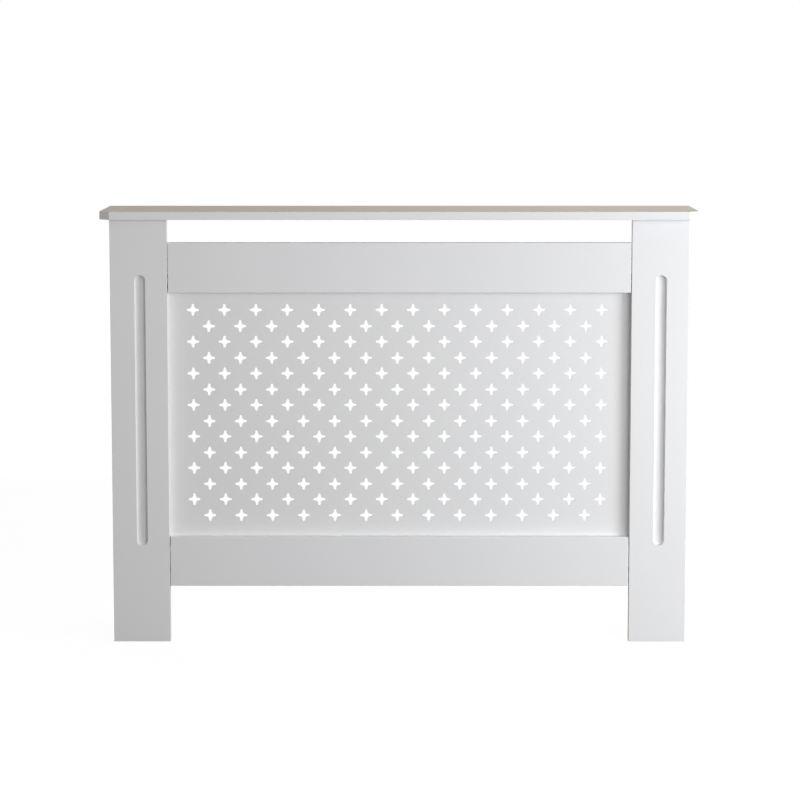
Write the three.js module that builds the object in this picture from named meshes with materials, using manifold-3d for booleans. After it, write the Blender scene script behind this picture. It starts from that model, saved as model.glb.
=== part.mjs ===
// Radiator cover cabinet: a three-sided painted board surround with a pierced grille and a shelf on top.
// Millimetres. +X is the cabinet's right as seen from the room, +Y points at the wall, +Z is up.
// The origin is on the floor, under the middle of the shelf.

import * as THREE from 'three';
import { mergeVertices } from 'three/addons/utils/BufferGeometryUtils.js';
import Module from 'manifold-3d';

const wasm = await Module();
wasm.setup();

// ---- Driving dimensions: the boards ----

const cabinetWidth = 1115; // the shelf, left to right
const cabinetHeight = 815; // floor to the shelf's upper face
const cabinetDepth = 190; // the shelf, front edge to wall
const boardThickness = 15;
const arris = 0.8; // the eased edges of every thick board
const shelfOverhangFront = 20;
const shelfOverhangSide = 18;
const shelfCornerClip = 20; // the shelf's front corners are cut off at 45 degrees
const legWidth = 106.5;
const outletGap = 43.7; // warm air leaves between the shelf and the upper rail
const railHeight = 93.5;
const floorGap = 107; // cool air enters under the lower rail

// ---- Driving dimensions: the round-nosed flute down the face of each leg ----

const fluteBottom = 184; // above the floor
const fluteTopDrop = 104.5; // below the leg's top end
const fluteDepth = 8;
const fluteCutterRadius = 10.9;
const fluteFacets = 16; // round the whole cutter

// ---- Driving dimensions: the grille ----

const grilleThickness = 3;
const grilleLap = 18; // the sheet runs this far behind the rails and the legs
const crossPitchX = 58.9;
const crossPitchZ = 59.85;
const crossStagger = 30.6; // the in-between rows hang this far below the row above
const crossFirstDrop = 33.8; // from the upper rail's lower edge to the first row
const crossMarginX = 45; // the least distance from a cross's middle to the opening's edges
const crossMarginZ = 33;
const crossShiftX = -3.8; // the pattern sits a little left of the middle
const crossReach = 11.3; // a cross's middle to the tip of an arm
const crossTipHalf = 1.8; // half the width of an arm at its tip
const crossThroatHalf = 3.3; // half the width of an arm where it leaves the middle

// ---- Driving dimensions: the fittings ----

const seam = 0.3; // the gap between two boards that meet
const railSeam = 0.8; // the same at the ends of the rails, where it shows as a dark line
const fit = 0.3; // all round a pin in its bore
const faceSkin = 4; // board left under a bore drilled into a face
const dowelRadius = 4;
const dowelInEdge = 18; // how deep a dowel sits in the edge of a board
const dowelChamfer = 1;
const camRadius = 7.2;
const camReach = 34; // from the seam to the middle of the cam
const camSkin = 2.5; // board left in front of a cam's bore
const camSlotLength = 8;
const camSlotWidth = 1.6;
const camSlotDepth = 1.6;
const boltHeadRadius = 3.3;
const boltHeadLength = 3;
const boltNeckRadius = 2;
const boltThreadRadius = 2.8;
const boltInEdge = 16; // thread length in the edge of a board
const railFittingSpread = 32; // between the cam bolt and the dowel in a rail's end
const sideCamInset = 120; // the side panel's end to its cams
const sideDowelInset = 260; // the side panel's end to its dowels
const shelfDowelInset = 30; // the side panel's wall edge to the dowel in its top end
const screwShankRadius = 1.75;
const screwHeadRadius = 3.5;
const screwCrownRadius = 2.1; // the flat on top of the head
const screwHeadHeight = 2.2;
const screwInBoard = 8; // how deep a screw bites into a board
const screwTip = 2.5;
const grilleScrewPitch = 300; // along the rails
const grilleScrewsEachRail = 3;
const grilleScrewSpread = 245; // between the two screws into a leg
const bracketDrop = 100; // the shelf's underside to the middle of a wall bracket
const bracketArm = 25;
const bracketWidth = 16;
const bracketGauge = 2;
const bracketHoleInset = 9; // from the end of an arm to its hole
const dowelSides = 8;
const boltSides = 6;
const screwSides = 6;
const camSides = 12;

// ---- Where the boards lie ----

const shelfFront = -cabinetDepth / 2;
const wallPlane = cabinetDepth / 2;
const frameFront = shelfFront + shelfOverhangFront;
const frameBack = frameFront + boardThickness;
const frameMiddle = frameFront + boardThickness / 2;
const legOuter = cabinetWidth / 2 - shelfOverhangSide;
const openingHalf = legOuter - legWidth;
const legCentre = openingHalf + legWidth / 2;
const shelfUnderside = cabinetHeight - boardThickness;
const legHeight = shelfUnderside - seam;
const upperRailTop = shelfUnderside - outletGap;
const upperRailBottom = upperRailTop - railHeight;
const lowerRailTop = floorGap + railHeight;
const grilleOpeningHeight = upperRailBottom - lowerRailTop;
const grilleBack = frameBack + seam + grilleThickness;
const sideFront = frameBack + seam;
const sideDepth = wallPlane - sideFront;
const sideInner = legOuter - boardThickness;
const sideMiddle = legOuter - boardThickness / 2;
const faceBore = boardThickness - faceSkin;

const X = new THREE.Vector3(1, 0, 0);
const Y = new THREE.Vector3(0, 1, 0);
const Z = new THREE.Vector3(0, 0, 1);
const towardsRoom = new THREE.Vector3(0, -1, 0);
const sides = [['left', -1], ['right', 1]];

// ---- Materials ----

const whitePaint = new THREE.MeshStandardMaterial({ color: 0xeeeef0, roughness: 0.45, metalness: 0 });
const taupePaint = new THREE.MeshStandardMaterial({ color: 0xc4b6a6, roughness: 0.5, metalness: 0 });
const beech = new THREE.MeshStandardMaterial({ color: 0xcfa878, roughness: 0.7, metalness: 0 });
const zinc = new THREE.MeshStandardMaterial({ color: 0xb4b6b8, roughness: 0.4, metalness: 0.9 });
const steel = new THREE.MeshStandardMaterial({ color: 0xa8aaad, roughness: 0.35, metalness: 1 });

// ---- Solids: joining and cutting ----

function solidOf(geometry) {
  const bare = geometry.clone();
  bare.deleteAttribute('normal');
  bare.deleteAttribute('uv');
  const merged = mergeVertices(bare, 1e-4);
  return new wasm.Manifold(new wasm.Mesh({
    numProp: 3,
    vertProperties: new Float32Array(merged.attributes.position.array),
    triVerts: new Uint32Array(merged.index.array),
  }));
}

function geometryOf(solid) {
  const mesh = solid.getMesh();
  const geometry = new THREE.BufferGeometry();
  geometry.setAttribute('position', new THREE.BufferAttribute(mesh.vertProperties, 3));
  geometry.setIndex(new THREE.BufferAttribute(mesh.triVerts, 1));
  return geometry;
}

function cut(geometry, cutters) {
  let solid = solidOf(geometry);
  for (const cutter of cutters) {
    solid = solid.subtract(solidOf(cutter));
  }
  return geometryOf(solid);
}

// The matrix that stands a piece at a point, its own X and Y axes turned to the two directions.
function standing(point, xDirection, yDirection) {
  const zDirection = xDirection.clone().cross(yDirection);
  return new THREE.Matrix4().makeBasis(xDirection, yDirection, zDirection).setPosition(point);
}

// A direction square to the one given, which is X, Y or Z or its opposite.
function across(direction) {
  return Math.abs(direction.z) < 0.5 ? Z : X;
}

// A round bore as a tool, from one point to another, its facets turned as those of the pin it holds.
function bore(from, to, radius, facets, xDirection) {
  const direction = to.clone().sub(from).normalize();
  const length = from.distanceTo(to);
  const tool = new THREE.CylinderGeometry(radius, radius, length, facets).translate(0, length / 2, 0);
  return tool.applyMatrix4(standing(from, xDirection, direction));
}

// ---- The object and its bores ----

const cabinet = new THREE.Group();
const bores = [];

function add(name, geometry, material, matrix) {
  const mesh = new THREE.Mesh(geometry, material);
  mesh.name = name;
  matrix.decompose(mesh.position, mesh.quaternion, mesh.scale);
  mesh.updateMatrixWorld();
  cabinet.add(mesh);
  return mesh;
}

// A board with every bore that reaches it drilled out.
function addDrilled(name, geometry, material, matrix) {
  const reach = geometry.clone().applyMatrix4(matrix);
  reach.computeBoundingBox();
  const inverse = matrix.clone().invert();
  const tools = bores.filter((tool) => {
    tool.computeBoundingBox();
    return tool.boundingBox.intersectsBox(reach.boundingBox);
  });
  const drilled = cut(geometry, tools.map((tool) => tool.clone().applyMatrix4(inverse)));
  return add(name, drilled, material, matrix);
}

// ---- Fittings ----

// The bolt is turned about its own +Y, which runs out of the cam and through the seam at 0.
function boltGeometry(threadLength) {
  const headEnd = -camReach - boltHeadLength / 2;
  return new THREE.LatheGeometry([
    new THREE.Vector2(0, headEnd),
    new THREE.Vector2(boltHeadRadius, headEnd),
    new THREE.Vector2(boltHeadRadius, headEnd + boltHeadLength),
    new THREE.Vector2(boltNeckRadius, headEnd + boltHeadLength),
    new THREE.Vector2(boltNeckRadius, 0),
    new THREE.Vector2(boltThreadRadius, 0),
    new THREE.Vector2(boltThreadRadius, threadLength),
    new THREE.Vector2(0, threadLength),
  ], boltSides);
}

// The cam is a drum about its own Y. The bolt lies along its +X, at height 0: its head sits in the pocket,
// and its neck runs out through the track that is cut round half of the drum.
function camGeometry() {
  const top = boardThickness / 2 - fit;
  const bottom = camSkin - boardThickness / 2 + fit;
  const neckRoom = boltNeckRadius + fit;
  const outside = camRadius + fit;
  const drum = new THREE.CylinderGeometry(camRadius, camRadius, top - bottom, camSides);
  drum.translate(0, (top + bottom) / 2, 0);
  const pocketStart = new THREE.Vector3(-outside, 0, 0);
  const pocketEnd = new THREE.Vector3(boltHeadLength / 2 + fit, 0, 0);
  const pocket = bore(pocketStart, pocketEnd, boltHeadRadius + fit, boltSides, Z);
  const track = new THREE.BoxGeometry(2 * outside, 2 * neckRoom, outside + neckRoom);
  track.translate(0, 0, (outside - neckRoom) / 2);
  const slot = new THREE.BoxGeometry(camSlotLength, 2 * camSlotDepth, camSlotWidth);
  slot.translate(0, top, 0);
  return cut(drum, [pocket, track, slot]);
}

// Draws a board against another. The point is where the bolt crosses the seam, outward runs from the cam's
// board into the bolt's, and face is the side from which the cam is let in.
function addCamJoint(name, point, outward, face, threadDepth) {
  const camCentre = point.clone().addScaledVector(outward, -camReach);
  const camMouth = camCentre.clone().addScaledVector(face, boardThickness / 2 + fit);
  const camFloor = camCentre.clone().addScaledVector(face, camSkin - boardThickness / 2);
  const threadEnd = point.clone().addScaledVector(outward, threadDepth);
  const sideways = outward.clone().cross(face);
  bores.push(bore(camMouth, camFloor, camRadius + fit, camSides, outward));
  bores.push(bore(camCentre, point, boltHeadRadius + fit, boltSides, sideways));
  bores.push(bore(point, threadEnd, boltThreadRadius + fit, boltSides, sideways));
  add(`${name}_cam_lock`, camGeometry(), zinc, standing(camCentre, outward, face));
  add(`${name}_cam_bolt`, boltGeometry(threadDepth - fit), steel, standing(point, sideways, outward));
}

function addDowel(name, point, outward, depthBehind, depthAhead) {
  const from = -depthBehind + fit;
  const to = depthAhead - fit;
  const geometry = new THREE.LatheGeometry([
    new THREE.Vector2(0, from),
    new THREE.Vector2(dowelRadius - dowelChamfer, from),
    new THREE.Vector2(dowelRadius, from + dowelChamfer),
    new THREE.Vector2(dowelRadius, to - dowelChamfer),
    new THREE.Vector2(dowelRadius - dowelChamfer, to),
    new THREE.Vector2(0, to),
  ], dowelSides);
  const back = point.clone().addScaledVector(outward, -depthBehind);
  const front = point.clone().addScaledVector(outward, depthAhead);
  bores.push(bore(back, front, dowelRadius + fit, dowelSides, across(outward)));
  add(name, geometry, beech, standing(point, across(outward), outward));
}

// A round-headed screw. The point is on the face of what it holds down, and the board starts at boardDepth.
function addScrew(name, point, inward, boardDepth) {
  const depth = boardDepth + screwInBoard;
  const headTop = -fit - screwHeadHeight;
  const geometry = new THREE.LatheGeometry([
    new THREE.Vector2(0, headTop),
    new THREE.Vector2(screwCrownRadius, headTop),
    new THREE.Vector2(screwHeadRadius, -fit),
    new THREE.Vector2(screwShankRadius, -fit),
    new THREE.Vector2(screwShankRadius, depth - screwTip),
    new THREE.Vector2(0, depth),
  ], screwSides);
  const mouth = point.clone().addScaledVector(inward, -fit);
  const end = point.clone().addScaledVector(inward, depth + fit);
  bores.push(bore(mouth, end, screwShankRadius + fit, screwSides, across(inward)));
  add(name, geometry, steel, standing(point, across(inward), inward));
}

// ---- Boards ----

// A board lies in its own XY plane with its back at Z 0, and all its long edges are eased.
function boardGeometry(outline) {
  const geometry = new THREE.ExtrudeGeometry(outline, {
    depth: boardThickness - 2 * arris,
    bevelEnabled: true,
    bevelThickness: arris,
    bevelSize: arris,
    bevelOffset: -arris,
    bevelSegments: 1,
    steps: 1,
  });
  return geometry.translate(0, 0, arris);
}

function rectangle(halfWidth, height) {
  return new THREE.Shape([
    new THREE.Vector2(-halfWidth, 0),
    new THREE.Vector2(halfWidth, 0),
    new THREE.Vector2(halfWidth, height),
    new THREE.Vector2(-halfWidth, height),
  ]);
}

// Boards of the front frame face the room: their own Z runs to -Y.
function facingRoom(x, backPlane, z) {
  return standing(new THREE.Vector3(x, backPlane, z), X, Z);
}

function addLeg(side, sign) {
  const fluteTop = legHeight - fluteTopDrop;
  const straight = fluteTop - fluteBottom - 2 * fluteEnd();
  const cutter = new THREE.CapsuleGeometry(fluteCutterRadius, straight, fluteFacets / 4, fluteFacets);
  cutter.translate(0, (fluteTop + fluteBottom) / 2, boardThickness - fluteDepth + fluteCutterRadius);
  const geometry = cut(boardGeometry(rectangle(legWidth / 2, legHeight)), [cutter]);
  addDrilled(`${side}_leg`, geometry, whitePaint, facingRoom(sign * legCentre, frameBack, 0));
}

// The flute's rounded end reaches this far past the cutter's own centre, at the board's face.
function fluteEnd() {
  return Math.sqrt(fluteCutterRadius ** 2 - (fluteCutterRadius - fluteDepth) ** 2);
}

function addRail(name, bottom) {
  const geometry = boardGeometry(rectangle(openingHalf - railSeam, railHeight));
  addDrilled(name, geometry, whitePaint, facingRoom(0, frameBack, bottom));
}

function addSidePanel(side, sign) {
  const geometry = boardGeometry(rectangle(sideDepth / 2, legHeight));
  const backPlane = sign * sideMiddle - boardThickness / 2;
  const place = new THREE.Vector3(backPlane, sideFront + sideDepth / 2, 0);
  addDrilled(`${side}_side_panel`, geometry, whitePaint, standing(place, Y, Z));
}

function addShelf() {
  const half = cabinetWidth / 2;
  const outline = new THREE.Shape([
    new THREE.Vector2(-half + shelfCornerClip, shelfFront),
    new THREE.Vector2(half - shelfCornerClip, shelfFront),
    new THREE.Vector2(half, shelfFront + shelfCornerClip),
    new THREE.Vector2(half, wallPlane),
    new THREE.Vector2(-half, wallPlane),
    new THREE.Vector2(-half, shelfFront + shelfCornerClip),
  ]);
  const place = new THREE.Vector3(0, 0, shelfUnderside);
  addDrilled('top_shelf', boardGeometry(outline), taupePaint, standing(place, X, Y));
}

// ---- The pierced grille ----

// A four-armed cross: each quarter turn adds an arm's blunt tip and the throat beside it.
function crossOutline(x, y) {
  const points = [];
  for (let quarter = 0; quarter < 4; quarter += 1) {
    const turn = (quarter * Math.PI) / 2;
    const centre = new THREE.Vector2(0, 0);
    points.push(new THREE.Vector2(crossReach, -crossTipHalf).rotateAround(centre, turn));
    points.push(new THREE.Vector2(crossReach, crossTipHalf).rotateAround(centre, turn));
    points.push(new THREE.Vector2(crossThroatHalf, crossThroatHalf).rotateAround(centre, turn));
  }
  return new THREE.Path(points.map((point) => point.add(new THREE.Vector2(x, y))));
}

// Rows of crosses hang from the upper rail, and every second row stands half a pitch to the side.
function crossCentres() {
  const centres = [];
  const gaps = Math.floor((2 * (openingHalf - crossMarginX)) / crossPitchX);
  const lowest = grilleOpeningHeight - crossFirstDrop - crossMarginZ;
  const addRow = (drop, rowGaps) => {
    for (let column = 0; column <= rowGaps && drop <= lowest; column += 1) {
      const x = crossShiftX + (column - rowGaps / 2) * crossPitchX;
      centres.push([x, upperRailBottom - crossFirstDrop - drop]);
    }
  };
  for (let drop = 0; drop <= lowest; drop += crossPitchZ) {
    addRow(drop, gaps);
    addRow(drop + crossStagger, gaps - 1);
  }
  return centres;
}

function addGrille() {
  const bottom = lowerRailTop - grilleLap;
  const height = grilleOpeningHeight + 2 * grilleLap;
  const sheet = rectangle(openingHalf + grilleLap, height);
  for (const [x, z] of crossCentres()) {
    sheet.holes.push(crossOutline(x, z - bottom));
  }
  const geometry = new THREE.ExtrudeGeometry(sheet, { depth: grilleThickness, bevelEnabled: false });
  addDrilled('grille_panel', geometry, whitePaint, facingRoom(0, grilleBack, bottom));
}

function addGrilleScrews() {
  const lapMiddle = grilleLap / 2;
  const rows = [['upper', upperRailBottom + lapMiddle], ['lower', lowerRailTop - lapMiddle]];
  for (const [rail, z] of rows) {
    for (let index = 0; index < grilleScrewsEachRail; index += 1) {
      const x = (index - (grilleScrewsEachRail - 1) / 2) * grilleScrewPitch;
      const point = new THREE.Vector3(x, grilleBack, z);
      addScrew(`${rail}_grille_screw_${index + 1}`, point, towardsRoom, grilleThickness + seam);
    }
  }
  const middle = (upperRailBottom + lowerRailTop) / 2;
  for (const [side, sign] of sides) {
    for (const [index, end] of [[1, -1], [2, 1]]) {
      const z = middle + (end * grilleScrewSpread) / 2;
      const point = new THREE.Vector3(sign * (openingHalf + lapMiddle), grilleBack, z);
      addScrew(`${side}_grille_screw_${index}`, point, towardsRoom, grilleThickness + seam);
    }
  }
}

// ---- Joints between the boards ----

// A cam bolt and a dowel hold each end of each rail to the inner edge of a leg.
function addRailJoints(rail, bottom) {
  for (const [side, sign] of sides) {
    const outward = X.clone().multiplyScalar(sign);
    const x = sign * (openingHalf - railSeam / 2);
    const cam = new THREE.Vector3(x, frameMiddle, bottom + (railHeight + railFittingSpread) / 2);
    const dowel = new THREE.Vector3(x, frameMiddle, bottom + (railHeight - railFittingSpread) / 2);
    addCamJoint(`${rail}_rail_${side}`, cam, outward, Y, boltInEdge);
    addDowel(`${rail}_rail_${side}_dowel`, dowel, outward, dowelInEdge, dowelInEdge);
  }
}

// Two cam bolts and two dowels hold each side panel's front edge to the back of its leg.
function addLegJoints(side, sign) {
  const inner = X.clone().multiplyScalar(-sign);
  const x = sign * sideMiddle;
  const y = frameBack + seam / 2;
  const ends = [['lower', (inset) => inset], ['upper', (inset) => legHeight - inset]];
  for (const [end, heightAt] of ends) {
    const cam = new THREE.Vector3(x, y, heightAt(sideCamInset));
    const dowel = new THREE.Vector3(x, y, heightAt(sideDowelInset));
    addCamJoint(`${side}_leg_${end}`, cam, towardsRoom, inner, faceBore);
    addDowel(`${side}_leg_${end}_dowel`, dowel, towardsRoom, dowelInEdge, faceBore);
  }
}

// The shelf stands on the side panels and the legs, one cam bolt and two dowels at each end.
function addShelfJoints(side, sign) {
  const inner = X.clone().multiplyScalar(-sign);
  const z = shelfUnderside - seam / 2;
  const cam = new THREE.Vector3(sign * sideMiddle, sideFront + sideDepth / 2, z);
  const panelDowel = new THREE.Vector3(sign * sideMiddle, wallPlane - shelfDowelInset, z);
  const legDowel = new THREE.Vector3(sign * legCentre, frameMiddle, z);
  addCamJoint(`${side}_shelf`, cam, Z, inner, faceBore);
  addDowel(`${side}_shelf_panel_dowel`, panelDowel, Z, dowelInEdge, faceBore);
  addDowel(`${side}_shelf_leg_dowel`, legDowel, Z, dowelInEdge, faceBore);
}

// ---- Wall brackets ----

// A bent strip: one arm lies on the side panel's inner face, the other flat against the wall.
function addBracket(side, sign) {
  const outline = new THREE.Shape([
    new THREE.Vector2(0, 0),
    new THREE.Vector2(bracketArm, 0),
    new THREE.Vector2(bracketArm, bracketGauge),
    new THREE.Vector2(2 * bracketGauge, bracketGauge),
    new THREE.Vector2(bracketGauge, 2 * bracketGauge),
    new THREE.Vector2(bracketGauge, bracketArm),
    new THREE.Vector2(0, bracketArm),
  ]);
  const geometry = new THREE.ExtrudeGeometry(outline, { depth: bracketWidth, bevelEnabled: false });
  const inner = X.clone().multiplyScalar(-sign);
  const outer = X.clone().multiplyScalar(sign);
  const height = shelfUnderside - bracketDrop;
  const corner = new THREE.Vector3(sign * (sideInner - fit), wallPlane, height - bracketWidth / 2);
  const hole = corner.clone().setZ(height);
  const holeReach = bracketArm - bracketHoleInset;
  const onPanel = hole.clone().addScaledVector(towardsRoom, holeReach).addScaledVector(inner, bracketGauge);
  const onWall = hole.clone().addScaledVector(inner, holeReach).addScaledVector(Y, fit);
  const offWall = onWall.clone().addScaledVector(towardsRoom, bracketGauge + 2 * fit);
  addScrew(`${side}_bracket_screw`, onPanel, outer, bracketGauge + fit);
  bores.push(bore(onWall, offWall, screwShankRadius + fit, screwSides, Z));
  const matrix = sign > 0 ? standing(corner, inner, towardsRoom) : standing(corner, towardsRoom, inner);
  addDrilled(`${side}_wall_bracket`, geometry, steel, matrix);
}

// ---- Assembly ----

addRailJoints('upper', upperRailBottom);
addRailJoints('lower', floorGap);
for (const [side, sign] of sides) {
  addLegJoints(side, sign);
  addShelfJoints(side, sign);
  addBracket(side, sign);
}
addGrilleScrews();
addShelf();
for (const [side, sign] of sides) {
  addLeg(side, sign);
  addSidePanel(side, sign);
}
addRail('upper_rail', upperRailBottom);
addRail('lower_rail', floorGap);
addGrille();

export default cabinet;
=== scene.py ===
# Radiator cover cabinet, dressed for the camera. Metres, +X to the cabinet's right, +Y at the wall, +Z up.
import math

import bpy
from mathutils import Matrix, Vector


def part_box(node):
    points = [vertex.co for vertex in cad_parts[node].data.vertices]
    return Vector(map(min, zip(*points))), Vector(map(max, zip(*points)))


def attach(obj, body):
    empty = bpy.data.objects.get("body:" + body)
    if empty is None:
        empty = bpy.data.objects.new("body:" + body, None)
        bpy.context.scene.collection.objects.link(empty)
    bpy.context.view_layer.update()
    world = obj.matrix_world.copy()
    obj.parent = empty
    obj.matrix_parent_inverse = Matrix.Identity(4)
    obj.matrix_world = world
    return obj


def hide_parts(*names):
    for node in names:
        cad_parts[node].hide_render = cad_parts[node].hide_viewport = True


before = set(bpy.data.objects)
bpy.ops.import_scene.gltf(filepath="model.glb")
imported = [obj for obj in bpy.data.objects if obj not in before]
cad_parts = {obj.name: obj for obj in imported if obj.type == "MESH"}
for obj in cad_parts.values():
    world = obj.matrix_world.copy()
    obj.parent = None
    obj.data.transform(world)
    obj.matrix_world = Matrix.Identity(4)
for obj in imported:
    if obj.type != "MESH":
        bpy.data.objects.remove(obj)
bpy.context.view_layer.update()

mm = 0.001
hair = 0.1 * mm  # places closer together than this count as one
sides = {"left": -1, "right": 1}
right = Vector((1, 0, 0))
back = Vector((0, 1, 0))  # at the wall
up = Vector((0, 0, 1))


# Small helpers for working as by hand

def deselectAll():
    bpy.ops.object.select_all(action="DESELECT")


def pick(piece):
    deselectAll()
    piece.select_set(True)
    bpy.context.view_layer.objects.active = piece


def settle(piece, name):  # the object goes to the origin, its place goes into its mesh
    pick(piece)
    bpy.ops.object.transform_apply(location=True, rotation=True, scale=True)
    piece.name = piece.data.name = name
    return piece


def addBox(name, low, high):
    deselectAll()
    middle = [(a + b) / 2 for a, b in zip(low, high)]
    size = [b - a for a, b in zip(low, high)]
    bpy.ops.mesh.primitive_cube_add(size=1, location=middle, scale=size)
    return settle(bpy.context.active_object, name)


def addRod(name, radius, start, end, direction, sideCount):  # a cylinder along a direction
    deselectAll()
    bpy.ops.mesh.primitive_cylinder_add(vertices=sideCount, radius=radius, depth=end - start,
                                        location=(0, 0, (start + end) / 2))
    rod = settle(bpy.context.active_object, name)
    rod.matrix_world = direction.to_track_quat("Z", "Y").to_matrix().to_4x4()
    return settle(rod, name)


def edit(piece, mode, test):  # opens edit mode with the faces or edges that pass the test selected
    pick(piece)
    bpy.ops.object.mode_set(mode="EDIT")
    bpy.ops.mesh.select_mode(type=mode)
    bpy.ops.mesh.select_all(action="DESELECT")
    bpy.ops.object.mode_set(mode="OBJECT")
    for element in (piece.data.polygons if mode == "FACE" else piece.data.edges):
        element.select = test(element)
    bpy.ops.object.mode_set(mode="EDIT")


def editDone():
    bpy.ops.object.mode_set(mode="OBJECT")


def edgeEnds(piece, edge):
    return [piece.data.vertices[index].co for index in edge.vertices]


def looksAlong(face, direction):
    return face.normal.dot(direction) > 0.9


def applyModifier(piece, kind, **values):
    pick(piece)
    modifier = piece.modifiers.new(kind, kind)
    for key, value in values.items():
        setattr(modifier, key, value)
    bpy.ops.object.modifier_apply(modifier=modifier.name)


def easeEdges(piece, width, segments, sharperThan=40):
    applyModifier(piece, "BEVEL", width=width, segments=segments, limit_method="ANGLE",
                  angle_limit=math.radians(sharperThan))


def carve(piece, cutter):
    applyModifier(piece, "BOOLEAN", object=cutter, operation="DIFFERENCE", solver="EXACT")
    bpy.data.objects.remove(cutter, do_unlink=True)


def smooth(piece, angle=35):
    pick(piece)
    bpy.ops.object.shade_smooth_by_angle(angle=math.radians(angle))
    applyModifier(piece, "WEIGHTED_NORMAL", keep_sharp=True)


def placeCopy(template, name, point, outward, face):  # the template's +X turns outward, its +Z to the face
    pick(template)
    bpy.ops.object.duplicate()
    piece = bpy.context.active_object
    turn = Matrix((outward, face.cross(outward), face)).transposed().to_4x4()
    piece.matrix_world = Matrix.Translation(point) @ turn
    return settle(piece, name)


def finishPiece(piece, slot, material, *nodes):
    piece.data.materials.clear()
    piece.data.materials.append(material)
    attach(piece, "root")
    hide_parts(*nodes)


def middleOf(node):
    low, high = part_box(node)
    return (Vector(low) + Vector(high)) / 2


def reachOf(node, direction):  # from the node's middle to the end of its box along an axis
    low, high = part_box(node)
    return max(abs(axis) * (b - a) / 2 for axis, a, b in zip(direction, low, high))


# The camera comes first

cameraView = {"focalPixels": 2396.7, "framePixels": 800, "sensor": 36, "distance": 4.446, "height": 1.093,
              "pitch": 5.986, "shiftX": 0.0007, "shiftY": -0.11}


def makeCamera():
    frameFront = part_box("left_leg")[0][1]
    data = bpy.data.cameras.new("camera")
    data.sensor_width = cameraView["sensor"]
    data.lens = cameraView["focalPixels"] / cameraView["framePixels"] * cameraView["sensor"]
    data.shift_x = cameraView["shiftX"]
    data.shift_y = cameraView["shiftY"]
    camera = bpy.data.objects.new("camera", data)
    bpy.context.collection.objects.link(camera)
    camera.location = (0, frameFront - cameraView["distance"], cameraView["height"])
    camera.rotation_euler = (math.radians(90 - cameraView["pitch"]), 0, 0)
    bpy.context.scene.camera = camera


makeCamera()
print("camera ready")


# Node groups that more than one finish uses

def newGroup(name, inputs, outputs):
    group = bpy.data.node_groups.new(name, "ShaderNodeTree")
    for socketName, kind, value in inputs:
        group.interface.new_socket(name=socketName, in_out="INPUT", socket_type=kind).default_value = value
    for socketName, kind in outputs:
        group.interface.new_socket(name=socketName, in_out="OUTPUT", socket_type=kind)
    return group, group.nodes.new("NodeGroupInput"), group.nodes.new("NodeGroupOutput")


def addNode(tree, kind, **values):
    node = tree.nodes.new(kind)
    for key, value in values.items():
        setattr(node, key, value)
    return node


def addNoise(tree, coordinates, scale, detail, roughness=0.5):
    noise = addNode(tree, "ShaderNodeTexNoise")
    noise.inputs["Scale"].default_value = scale
    noise.inputs["Detail"].default_value = detail
    noise.inputs["Roughness"].default_value = roughness
    tree.links.new(coordinates, noise.inputs["Vector"])
    return noise.outputs["Fac"]


def addMath(tree, operation, first, second):
    node = addNode(tree, "ShaderNodeMath", operation=operation)
    for socket, value in zip(node.inputs, (first, second)):
        if isinstance(value, (int, float)):
            socket.default_value = value
        else:
            tree.links.new(value, socket)
    return node.outputs[0]


paintGrain = {"clouds": 7, "specks": 260, "speckShare": 0.35, "peel": 620, "waves": 95, "waveShare": 0.8,
              "peelDepth": 0.06 * mm}  # pattern scales per metre
metalGrain = {"patches": 340, "grain": 2600, "grainDepth": 0.03 * mm}


def makePaintGroup():  # sprayed satin paint: fine orange peel, faint clouds of tone and sheen
    group, entry, leave = newGroup("sprayedPaint", [
        ("Color", "NodeSocketColor", (0.8, 0.8, 0.8, 1)),
        ("Cloud Tone", "NodeSocketFloat", 0.02),
        ("Sheen Base", "NodeSocketFloat", 0.45),
        ("Sheen Spread", "NodeSocketFloat", 0.08),
        ("Peel Height", "NodeSocketFloat", 0.3),
    ], [("Color", "NodeSocketColor"), ("Roughness", "NodeSocketFloat"), ("Normal", "NodeSocketVector")])
    place = addNode(group, "ShaderNodeTexCoord").outputs["Object"]
    clouds = addNoise(group, place, paintGrain["clouds"], 3)
    specks = addNoise(group, place, paintGrain["specks"], 2)
    peel = addNoise(group, place, paintGrain["peel"], 3, 0.6)
    waves = addNoise(group, place, paintGrain["waves"], 1)
    speckled = addMath(group, "ADD", clouds, addMath(group, "MULTIPLY", specks, paintGrain["speckShare"]))
    centred = addMath(group, "SUBTRACT", speckled, (1 + paintGrain["speckShare"]) / 2)
    tone = addMath(group, "ADD", addMath(group, "MULTIPLY", centred, entry.outputs["Cloud Tone"]), 1)
    tint = addNode(group, "ShaderNodeVectorMath", operation="SCALE")
    group.links.new(entry.outputs["Color"], tint.inputs[0])
    group.links.new(tone, tint.inputs["Scale"])
    group.links.new(tint.outputs[0], leave.inputs["Color"])
    swing = addMath(group, "SUBTRACT", waves, 0.5)
    sheen = addMath(group, "MULTIPLY", swing, entry.outputs["Sheen Spread"])
    group.links.new(addMath(group, "ADD", sheen, entry.outputs["Sheen Base"]), leave.inputs["Roughness"])
    bump = addNode(group, "ShaderNodeBump")
    bump.inputs["Distance"].default_value = paintGrain["peelDepth"]
    height = addMath(group, "ADD", peel, addMath(group, "MULTIPLY", waves, paintGrain["waveShare"]))
    group.links.new(height, bump.inputs["Height"])
    group.links.new(entry.outputs["Peel Height"], bump.inputs["Strength"])
    group.links.new(bump.outputs[0], leave.inputs["Normal"])
    return group


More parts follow.
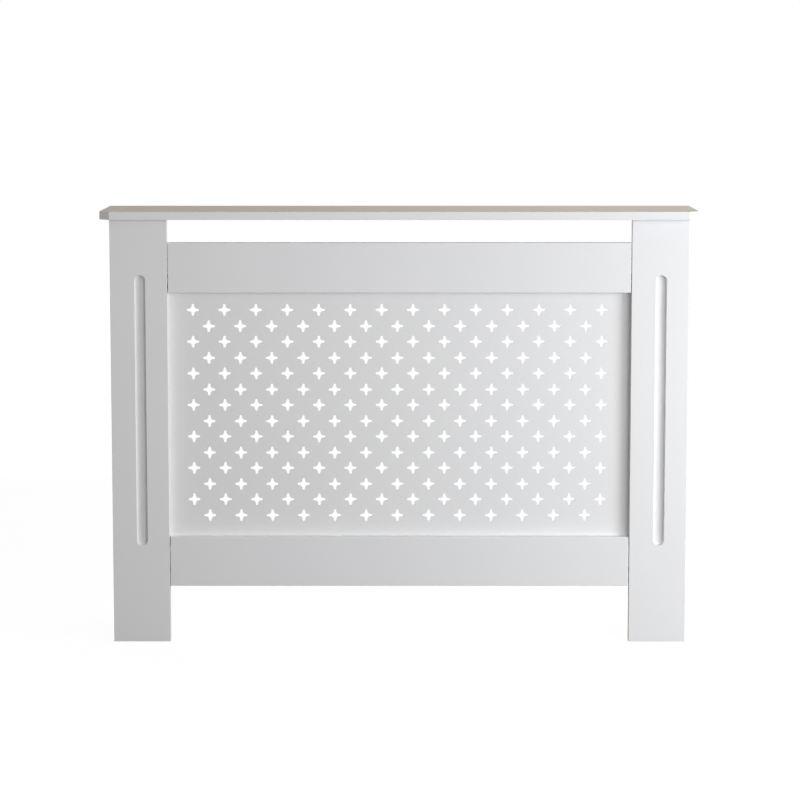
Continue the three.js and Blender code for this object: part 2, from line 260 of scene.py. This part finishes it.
def makeMetalGroup():  # plated or cast metal: mottled tone, brushed or grainy sheen
    group, entry, leave = newGroup("dullMetal", [
        ("Color", "NodeSocketColor", (0.5, 0.5, 0.5, 1)),
        ("Mottle", "NodeSocketFloat", 0.25),
        ("Sheen Base", "NodeSocketFloat", 0.35),
        ("Sheen Spread", "NodeSocketFloat", 0.2),
        ("Grain Height", "NodeSocketFloat", 0.2),
    ], [("Color", "NodeSocketColor"), ("Roughness", "NodeSocketFloat"), ("Normal", "NodeSocketVector")])
    place = addNode(group, "ShaderNodeTexCoord").outputs["Object"]
    patches = addNoise(group, place, metalGrain["patches"], 3)
    grain = addNoise(group, place, metalGrain["grain"], 3)
    tone = addMath(group, "MULTIPLY", addMath(group, "SUBTRACT", patches, 0.5), entry.outputs["Mottle"])
    tint = addNode(group, "ShaderNodeVectorMath", operation="SCALE")
    group.links.new(entry.outputs["Color"], tint.inputs[0])
    group.links.new(addMath(group, "ADD", tone, 1), tint.inputs["Scale"])
    group.links.new(tint.outputs[0], leave.inputs["Color"])
    swing = addMath(group, "SUBTRACT", grain, 0.5)
    sheen = addMath(group, "MULTIPLY", swing, entry.outputs["Sheen Spread"])
    group.links.new(addMath(group, "ADD", sheen, entry.outputs["Sheen Base"]), leave.inputs["Roughness"])
    bump = addNode(group, "ShaderNodeBump")
    bump.inputs["Distance"].default_value = metalGrain["grainDepth"]
    group.links.new(grain, bump.inputs["Height"])
    group.links.new(entry.outputs["Grain Height"], bump.inputs["Strength"])
    group.links.new(bump.outputs[0], leave.inputs["Normal"])
    return group


def makeMaterial(name, group, values, metallic=0.0, gloss=0.5):
    material = bpy.data.materials.new(name)
    material.use_nodes = True
    tree = material.node_tree
    shader = tree.nodes["Principled BSDF"]
    shader.inputs["Metallic"].default_value = metallic
    shader.inputs["Specular IOR Level"].default_value = gloss
    skin = addNode(tree, "ShaderNodeGroup", node_tree=group)
    for key, value in values.items():
        skin.inputs[key].default_value = value
    tree.links.new(skin.outputs["Color"], shader.inputs["Base Color"])
    tree.links.new(skin.outputs["Roughness"], shader.inputs["Roughness"])
    tree.links.new(skin.outputs["Normal"], shader.inputs["Normal"])
    return material


paintGroup = makePaintGroup()
metalGroup = makeMetalGroup()
boardWhite = {"Color": (0.86, 0.86, 0.868, 1), "Cloud Tone": 0.02, "Sheen Base": 0.46, "Sheen Spread": 0.1,
              "Peel Height": 0.35}
grilleWhite = {"Color": (0.86, 0.86, 0.862, 1), "Cloud Tone": 0.02, "Sheen Base": 0.55,
               "Sheen Spread": 0.08, "Peel Height": 0.3}
# The shelf's upward faces get a darker, warmer colour than the white boards.
shelfTopTone = {"Color": (0.48, 0.416, 0.353, 1), "Cloud Tone": 0.03, "Sheen Base": 0.5, "Sheen Spread": 0.1,
              "Peel Height": 0.35}
castZinc = {"Color": (0.56, 0.57, 0.58, 1), "Mottle": 0.3, "Sheen Base": 0.45, "Sheen Spread": 0.3,
            "Grain Height": 0.5}
platedSteel = {"Color": (0.6, 0.61, 0.63, 1), "Mottle": 0.2, "Sheen Base": 0.3, "Sheen Spread": 0.2,
               "Grain Height": 0.2}
boardPaint = makeMaterial("boardPaint", paintGroup, boardWhite, gloss=0.12)
grillePaint = makeMaterial("grillePaint", paintGroup, grilleWhite, gloss=0.12)
shelfPaint = makeMaterial("shelfPaint", paintGroup, shelfTopTone, gloss=0.1)
camZinc = makeMaterial("camZinc", metalGroup, castZinc, metallic=1.0)
screwSteel = makeMaterial("screwSteel", metalGroup, platedSteel, metallic=1.0)


dowelWood = {"pale": (0.70, 0.50, 0.31, 1), "dark": (0.52, 0.33, 0.18, 1), "darkUpTo": 0.35,
             "paleFrom": 0.6, "stretch": 0.08, "grain": 900, "grainDepth": 0.1 * mm, "roughness": 0.65}


def makeBeech(name, axis):  # long flecks along the dowel
    material = bpy.data.materials.new(name)
    material.use_nodes = True
    tree = material.node_tree
    shader = tree.nodes["Principled BSDF"]
    shader.inputs["Roughness"].default_value = dowelWood["roughness"]
    mapping = addNode(tree, "ShaderNodeMapping")
    mapping.inputs["Scale"].default_value = [dowelWood["stretch"] if i == axis else 1 for i in range(3)]
    tree.links.new(addNode(tree, "ShaderNodeTexCoord").outputs["Object"], mapping.inputs["Vector"])
    flecks = addNoise(tree, mapping.outputs[0], dowelWood["grain"], 4)
    ramp = addNode(tree, "ShaderNodeValToRGB")
    low, high = ramp.color_ramp.elements
    low.position, low.color = dowelWood["darkUpTo"], dowelWood["dark"]
    high.position, high.color = dowelWood["paleFrom"], dowelWood["pale"]
    tree.links.new(flecks, ramp.inputs[0])
    tree.links.new(ramp.outputs[0], shader.inputs["Base Color"])
    bump = addNode(tree, "ShaderNodeBump")
    bump.inputs["Distance"].default_value = dowelWood["grainDepth"]
    tree.links.new(flecks, bump.inputs["Height"])
    tree.links.new(bump.outputs[0], shader.inputs["Normal"])
    return material


beechAcross = makeBeech("beechAcross", 0)
beechDeep = makeBeech("beechDeep", 1)
beechUpright = makeBeech("beechUpright", 2)
print("finishes ready")


# Boards: each is a plank with eased edges, on the place of its node

plank = {"ease": 0.8 * mm, "easeSteps": 3}


def addPlank(node, name, shorter=0.0):
    low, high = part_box(node)
    board = addBox(name, (low[0] + shorter, low[1], low[2]), (high[0] - shorter, high[1], high[2]))
    easeEdges(board, plank["ease"], plank["easeSteps"])
    return board


camBore = {"radius": 7.5 * mm, "depth": 12.5 * mm, "clear": 2 * mm, "sides": 48}


def boreForCam(board, node, face):  # the round pocket that the cam is let into
    reach = reachOf(node, face)
    floor, mouth = reach - camBore["depth"], reach + camBore["clear"]
    cutter = addRod("camPocket", camBore["radius"], floor, mouth, face, camBore["sides"])
    cutter.location = middleOf(node)
    carve(board, settle(cutter, "camPocket"))


flute = {"radius": 10.1 * mm, "depth": 7.5 * mm, "bottom": 184 * mm, "top": 695.2 * mm, "shift": 2.05 * mm,
         "floorRound": 2.5 * mm, "floorSteps": 3, "rimEase": 0.45 * mm, "rimSteps": 2, "clear": 5 * mm,
         "sides": 64}


def addLegs():
    for side in sides:
        node = f"{side}_leg"
        leg = addPlank(node, f"{side}LegBoard")
        low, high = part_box(node)
        middle = (low[0] + high[0]) / 2 + flute["shift"]
        start = flute["bottom"] + flute["radius"]
        rise = flute["top"] - flute["bottom"] - 2 * flute["radius"]
        mouth, floor = low[1] - flute["clear"], low[1] + flute["depth"]
        cutter = addRod("fluteCutter", flute["radius"], mouth, floor, back, flute["sides"])
        cutter.location = (middle, 0, start)
        settle(cutter, "fluteCutter")
        edit(cutter, "FACE", lambda face: face.center.z > start + hair)
        bpy.ops.mesh.extrude_region_move(TRANSFORM_OT_translate={"value": (0, 0, rise)})
        bpy.ops.mesh.select_all(action="SELECT")
        bpy.ops.mesh.dissolve_limited(angle_limit=math.radians(1))
        editDone()
        easeEdges(cutter, flute["floorRound"], flute["floorSteps"])
        carve(leg, cutter)
        easeEdges(leg, flute["rimEase"], flute["rimSteps"])
        smooth(leg)
        finishPiece(leg, "white_paint", boardPaint, node)


shadowGap = {"each": 0.7 * mm}  # the rails' ends stand back, so that each joint shows as a dark line


def addRails():
    for rail in ("upper", "lower"):
        board = addPlank(f"{rail}_rail", f"{rail}RailBoard", shadowGap["each"])
        for side in sides:
            boreForCam(board, f"{rail}_rail_{side}_cam_lock", back)
        smooth(board)
        finishPiece(board, "white_paint", boardPaint, f"{rail}_rail")


def addSidePanels():
    for side, sign in sides.items():
        board = addPlank(f"{side}_side_panel", f"{side}SideBoard")
        for joint in ("leg_lower", "leg_upper", "shelf"):
            boreForCam(board, f"{side}_{joint}_cam_lock", right * -sign)
        smooth(board)
        finishPiece(board, "white_paint", boardPaint, f"{side}_side_panel")


shelf = {"clip": 20 * mm, "ease": 0.6 * mm, "easeSteps": 3}


def addShelf():
    low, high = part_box("top_shelf")
    board = addBox("shelfBoard", low, high)

    def isFrontCorner(edge):
        first, second = edgeEnds(board, edge)
        return abs(first.z - second.z) > mm and first.y < 0 and second.y < 0

    edit(board, "EDGE", isFrontCorner)
    bpy.ops.mesh.bevel(offset=shelf["clip"], offset_type="OFFSET", segments=1)
    editDone()
    easeEdges(board, shelf["ease"], shelf["easeSteps"])
    smooth(board)
    finishPiece(board, "taupe_paint", boardPaint, "top_shelf")
    # Only the faces that look up get that darker, warmer colour.
    board.data.materials.append(shelfPaint)
    for face in board.data.polygons:
        if looksAlong(face, up):
            face.material_index = 1


addLegs()
addRails()
addSidePanels()
addShelf()
print("boards ready")


# The pierced grille: a cross is modelled once, repeated in rows, and cut through the sheet

grille = {"pitchX": 58.9 * mm, "pitchZ": 59.85 * mm, "stagger": 30.6 * mm, "rows": 7, "columns": 14,
          "firstDrop": 33.8 * mm, "shiftX": -3.8 * mm, "reach": 11.3 * mm, "tipHalf": 1.8 * mm,
          "throatHalf": 3.3 * mm, "tipRound": 1.4 * mm, "tipSteps": 3, "throatRound": 2.2 * mm,
          "throatSteps": 2, "clear": 4 * mm}


def addCrossCutter(name, x, y, z):  # a small block whose four sides are drawn out into tapered arms
    half, reach, clear = grille["throatHalf"], grille["reach"], grille["clear"]
    cutter = addBox(name, (x - half, y - clear, z - half), (x + half, y + clear, z + half))
    centre = Vector((x, y, z))
    for outward in (right, -right, up, -up):
        root = centre + outward * half
        edit(cutter, "FACE", lambda face: looksAlong(face, outward) and (face.center - root).length < hair)
        bpy.ops.mesh.extrude_region_move(TRANSFORM_OT_translate={"value": outward * (reach - half)})
        narrow = grille["tipHalf"] / half
        squeeze = [1 if abs(axis) > 0.5 else narrow for axis in outward]
        squeeze[1] = 1
        bpy.ops.transform.resize(value=squeeze)
        editDone()

    def isBetween(edge, nearest, farthest):  # an edge through the sheet, that far from the cross's centre
        first, second = edgeEnds(cutter, edge)
        distance = max(abs(first.x - centre.x), abs(first.z - centre.z))
        return abs(first.y - second.y) > mm and nearest < distance < farthest

    edit(cutter, "EDGE", lambda edge: isBetween(edge, reach - hair, reach + hair))
    bpy.ops.mesh.bevel(offset=grille["tipRound"], segments=grille["tipSteps"])
    editDone()
    edit(cutter, "EDGE", lambda edge: isBetween(edge, 0, half + hair))
    bpy.ops.mesh.bevel(offset=grille["throatRound"], segments=grille["throatSteps"])
    editDone()
    return cutter


def repeatCross(cutter, count, step):
    applyModifier(cutter, "ARRAY", count=count, use_relative_offset=False, use_constant_offset=True,
                  constant_offset_displace=step)


def addGrille():
    low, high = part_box("grille_panel")
    sheet = addBox("grilleSheet", low, high)
    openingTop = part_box("upper_rail")[0][2]
    middleY = (low[1] + high[1]) / 2
    for stagger, columns in ((0, grille["columns"]), (grille["stagger"], grille["columns"] - 1)):
        startX = grille["shiftX"] - (columns - 1) / 2 * grille["pitchX"]
        startZ = openingTop - grille["firstDrop"] - stagger
        cutter = addCrossCutter("crossCutter", startX, middleY, startZ)
        repeatCross(cutter, columns, (grille["pitchX"], 0, 0))
        repeatCross(cutter, grille["rows"], (0, 0, -grille["pitchZ"]))
        carve(sheet, cutter)
    smooth(sheet)
    finishPiece(sheet, "white_paint", grillePaint, "grille_panel")


addGrille()
print("grille ready")


# Fittings: a cam and a screw are modelled once and copied to their places

camLock = {"radius": 7.2 * mm, "height": 11.6 * mm, "rimEase": 0.4 * mm, "rimSteps": 2, "recess": 6.4 * mm,
           "bladeWidth": 1.3 * mm, "bladeDepth": 2.4 * mm, "arrow": 2.2 * mm, "arrowDepth": 0.3 * mm,
           "sides": 48}
panScrew = {"headRadius": 3.5 * mm, "headHeight": 2.2 * mm, "crown": 0.62, "crownEase": 0.5 * mm,
            "easeSteps": 3, "easeAngle": 20, "shank": 1.85 * mm, "length": 11.3 * mm, "pointShare": 0.25,
            "pointWidth": 0.15, "recess": 3.4 * mm, "bladeWidth": 0.8 * mm, "bladeDepth": 1.2 * mm,
            "sunk": 0.2 * mm, "sides": 32}
bladeTaper = 0.55


def carveCross(piece, reach, width, depth, top):  # a cross recess for a screwdriver
    for halfX, halfY in ((reach / 2, width / 2), (width / 2, reach / 2)):
        blade = addBox("blade", (-halfX, -halfY, top - depth), (halfX, halfY, top + depth))
        edit(blade, "FACE", lambda face: looksAlong(face, -up))
        bpy.ops.transform.resize(value=(bladeTaper, bladeTaper, 1))
        editDone()
        carve(piece, blade)


def addCamTemplate():
    drum = addRod("camTemplate", camLock["radius"], -camLock["height"], 0, up, camLock["sides"])
    easeEdges(drum, camLock["rimEase"], camLock["rimSteps"])
    carveCross(drum, camLock["recess"], camLock["bladeWidth"], camLock["bladeDepth"], 0)
    deselectAll()
    spot = (camLock["radius"] - camLock["arrow"], 0, 0)
    bpy.ops.mesh.primitive_cylinder_add(vertices=3, radius=camLock["arrow"] / 2,
                                        depth=2 * camLock["arrowDepth"], location=spot,
                                        rotation=(0, 0, -math.pi / 2))
    carve(drum, settle(bpy.context.active_object, "arrowCutter"))
    smooth(drum)
    return drum


def addCams():
    template = addCamTemplate()
    joints = []
    for side, sign in sides.items():
        for rail in ("upper", "lower"):
            joints.append((f"{rail}_rail_{side}", right * sign, back))
        for joint, outward in (("leg_lower", -back), ("leg_upper", -back), ("shelf", up)):
            joints.append((f"{side}_{joint}", outward, right * -sign))
    for name, outward, face in joints:
        node = f"{name}_cam_lock"
        cam = placeCopy(template, f"{name}_cam", middleOf(node) + face * reachOf(node, face), outward, face)
        finishPiece(cam, "zinc", camZinc, node)
        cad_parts[f"{name}_cam_bolt"].data.materials[0] = screwSteel
    bpy.data.objects.remove(template, do_unlink=True)


def addScrewTemplate():  # a pan head on a plain shank, the point down its own -Z
    screw = addRod("screwTemplate", panScrew["headRadius"], 0, panScrew["headHeight"], up,
                   panScrew["sides"])
    edit(screw, "FACE", lambda face: looksAlong(face, up))
    bpy.ops.transform.resize(value=(panScrew["crown"], panScrew["crown"], 1))
    editDone()
    easeEdges(screw, panScrew["crownEase"], panScrew["easeSteps"], panScrew["easeAngle"])
    carveCross(screw, panScrew["recess"], panScrew["bladeWidth"], panScrew["bladeDepth"],
               panScrew["headHeight"])
    edit(screw, "FACE", lambda face: looksAlong(face, -up) and face.center.z < hair)
    bpy.ops.mesh.inset(thickness=panScrew["headRadius"] - panScrew["shank"])
    for share in (1 - panScrew["pointShare"], panScrew["pointShare"]):
        step = (0, 0, -panScrew["length"] * share)
        bpy.ops.mesh.extrude_region_move(TRANSFORM_OT_translate={"value": step})
    bpy.ops.transform.resize(value=(panScrew["pointWidth"], panScrew["pointWidth"], 1))
    editDone()
    smooth(screw)
    return screw


def addScrews():
    template = addScrewTemplate()
    places = [(f"{rail}_grille_screw_{count}", right, back) for rail in ("upper", "lower")
              for count in (1, 2, 3)]
    for side, sign in sides.items():
        places += [(f"{side}_grille_screw_{count}", right, back) for count in (1, 2)]
        places.append((f"{side}_bracket_screw", back, right * -sign))
    for node, outward, face in places:
        seat = reachOf(node, face) - panScrew["headHeight"] - panScrew["sunk"]
        screw = placeCopy(template, f"{node}_steel", middleOf(node) + face * seat, outward, face)
        finishPiece(screw, "steel", screwSteel, node)
    bpy.data.objects.remove(template, do_unlink=True)


bracket = {"gauge": 2 * mm, "bend": 1.75 * mm, "bendSteps": 4, "endRound": 5 * mm, "endSteps": 6,
           "hole": 2.1 * mm, "holeInset": 9 * mm, "holeClear": 5 * mm, "holeSides": 24, "ease": 0.25 * mm,
           "easeSteps": 2}


def addBrackets():
    for side, sign in sides.items():
        node = f"{side}_wall_bracket"
        low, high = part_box(node)
        gauge = bracket["gauge"]
        outerX = high[0] if sign > 0 else low[0]
        innerX = low[0] if sign > 0 else high[0]
        cornerLow = (min(outerX, outerX - sign * gauge), high[1] - gauge, low[2])
        cornerHigh = (max(outerX, outerX - sign * gauge), high[1], high[2])
        strip = addBox(f"{side}BracketStrip", cornerLow, cornerHigh)
        inward = right * -sign
        edit(strip, "FACE", lambda face: looksAlong(face, inward))
        wallArm = inward * (high[0] - low[0] - gauge)
        bpy.ops.mesh.extrude_region_move(TRANSFORM_OT_translate={"value": wallArm})
        editDone()
        edit(strip, "FACE", lambda face: looksAlong(face, -back) and abs(face.center.x - outerX) < gauge)
        panelArm = (0, low[1] - high[1] + gauge, 0)
        bpy.ops.mesh.extrude_region_move(TRANSFORM_OT_translate={"value": panelArm})
        editDone()

        def isBend(edge):
            first, second = edgeEnds(strip, edge)
            upright = abs(first.z - second.z) > gauge
            return upright and abs(first.x - outerX) < 1.5 * gauge and abs(first.y - high[1]) < 1.5 * gauge

        edit(strip, "EDGE", isBend)
        bpy.ops.mesh.bevel(offset=bracket["bend"], segments=bracket["bendSteps"])
        editDone()

        def isEndCorner(edge):
            first, second = edgeEnds(strip, edge)
            level = abs(first.z - second.z) < hair
            atWallEnd = all(abs(end.x - innerX) < hair for end in (first, second))
            atPanelEnd = all(abs(end.y - low[1]) < hair for end in (first, second))
            return level and (atWallEnd or atPanelEnd)

        edit(strip, "EDGE", isEndCorner)
        bpy.ops.mesh.bevel(offset=bracket["endRound"], segments=bracket["endSteps"])
        editDone()
        hole = addRod("bracketHole", bracket["hole"], -bracket["holeClear"], bracket["holeClear"], back,
                      bracket["holeSides"])
        hole.location = (innerX + sign * bracket["holeInset"], high[1] - gauge / 2, (low[2] + high[2]) / 2)
        carve(strip, settle(hole, "bracketHole"))
        easeEdges(strip, bracket["ease"], bracket["easeSteps"])
        smooth(strip)
        finishPiece(strip, "steel", screwSteel, node)


addCams()
addScrews()
addBrackets()
for name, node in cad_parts.items():
    if name.endswith("dowel"):
        grainWay = beechAcross if "rail" in name else beechUpright if "shelf" in name else beechDeep
        node.data.materials[0] = grainWay
print("fittings ready")


# The studio: a pale floor, white beyond it, and soft light from the right

studio = {"fill": 0.235, "overhead": 0.16, "behind": 0.9, "behindFrom": (-0.3, 0.95, 0),
          "fillTint": (1.0, 0.985, 0.96, 1), "white": 1.0, "floorSize": 3.4, "floorDrop": 0.2 * mm,
          "floorGlow": 0.92, "floorShade": 0.12, "bounce": 0.2}


def makeFloor():
    deselectAll()
    bpy.ops.mesh.primitive_plane_add(size=studio["floorSize"], location=(0, 0, -studio["floorDrop"]))
    floor = settle(bpy.context.active_object, "floor")
    material = bpy.data.materials.new("paleFloor")
    material.use_nodes = True
    tree = material.node_tree
    tree.nodes.clear()
    output = addNode(tree, "ShaderNodeOutputMaterial")
    matt = addNode(tree, "ShaderNodeBsdfDiffuse")
    seen = addNode(tree, "ShaderNodeBsdfDiffuse")
    seen.inputs["Color"].default_value = [studio["floorShade"]] * 3 + [1]
    matt.inputs["Color"].default_value = [studio["bounce"]] * 3 + [1]
    glow = addNode(tree, "ShaderNodeEmission")
    glow.inputs["Color"].default_value = (1, 1, 1, 1)
    glow.inputs["Strength"].default_value = studio["floorGlow"]
    pale = addNode(tree, "ShaderNodeAddShader")
    tree.links.new(seen.outputs[0], pale.inputs[0])
    tree.links.new(glow.outputs[0], pale.inputs[1])
    mix = addNode(tree, "ShaderNodeMixShader")
    tree.links.new(addNode(tree, "ShaderNodeLightPath").outputs["Is Camera Ray"], mix.inputs[0])
    tree.links.new(matt.outputs[0], mix.inputs[1])
    tree.links.new(pale.outputs[0], mix.inputs[2])
    tree.links.new(mix.outputs[0], output.inputs["Surface"])
    floor.data.materials.append(material)


def makeWorld():
    world = bpy.data.worlds.new("studio")
    bpy.context.scene.world = world
    world.use_nodes = True
    tree = world.node_tree
    tree.nodes.clear()
    output = addNode(tree, "ShaderNodeOutputWorld")
    fill = addNode(tree, "ShaderNodeBackground")
    fill.inputs["Color"].default_value = studio["fillTint"]
    direction = addNode(tree, "ShaderNodeTexCoord").outputs["Generated"]
    strength = studio["fill"]
    for source, share in ((up, studio["overhead"]), (studio["behindFrom"], studio["behind"])):
        facing = addNode(tree, "ShaderNodeVectorMath", operation="DOT_PRODUCT")
        facing.inputs[1].default_value = source
        tree.links.new(direction, facing.inputs[0])
        glow = addMath(tree, "MULTIPLY", addMath(tree, "MAXIMUM", facing.outputs["Value"], 0), share)
        strength = addMath(tree, "ADD", glow, strength)
    tree.links.new(strength, fill.inputs["Strength"])
    white = addNode(tree, "ShaderNodeBackground")
    white.inputs["Color"].default_value = (1, 1, 1, 1)
    white.inputs["Strength"].default_value = studio["white"]
    mix = addNode(tree, "ShaderNodeMixShader")
    rays = addNode(tree, "ShaderNodeLightPath")
    mirrored = addMath(tree, "MAXIMUM", rays.outputs["Is Glossy Ray"], rays.outputs["Is Transmission Ray"])
    showing = addMath(tree, "MAXIMUM", rays.outputs["Is Camera Ray"], mirrored)
    tree.links.new(showing, mix.inputs[0])
    tree.links.new(fill.outputs[0], mix.inputs[1])
    tree.links.new(white.outputs[0], mix.inputs[2])
    tree.links.new(mix.outputs[0], output.inputs["Surface"])


softLights = {
    "sideLight": {"place": (1.981, -1.188, 0.75), "aim": (0.2, -0.075, 0.45), "width": 0.85, "height": 1.2,
                  "watts": 30.5, "tint": (0.96, 0.98, 1.02)},
    "frontLight": {"place": (2.08, -4.11, 0.95), "aim": (0.2, -0.075, 0.45), "width": 2.0, "height": 2.0,
                   "watts": 60, "tint": (1.0, 1.0, 1.0)},
    "topLight": {"place": (0.5, 0.25, 1.65), "aim": (0.5, 0.0, 0.8), "width": 0.5, "height": 0.5,
                 "watts": 3.0, "tint": (1.0, 1.0, 1.0)},
}


def makeLights():
    for name, values in softLights.items():
        data = bpy.data.lights.new(name, "AREA")
        data.shape = "RECTANGLE"
        data.size = values["width"]
        data.size_y = values["height"]
        data.energy = values["watts"]
        data.color = values["tint"]
        light = bpy.data.objects.new(name, data)
        bpy.context.collection.objects.link(light)
        light.location = values["place"]
        aim = Vector(values["aim"]) - Vector(values["place"])
        light.rotation_euler = aim.to_track_quat("-Z", "Y").to_euler()


makeFloor()
makeWorld()
makeLights()
bpy.context.scene.view_settings.view_transform = "Standard"
print("studio ready")
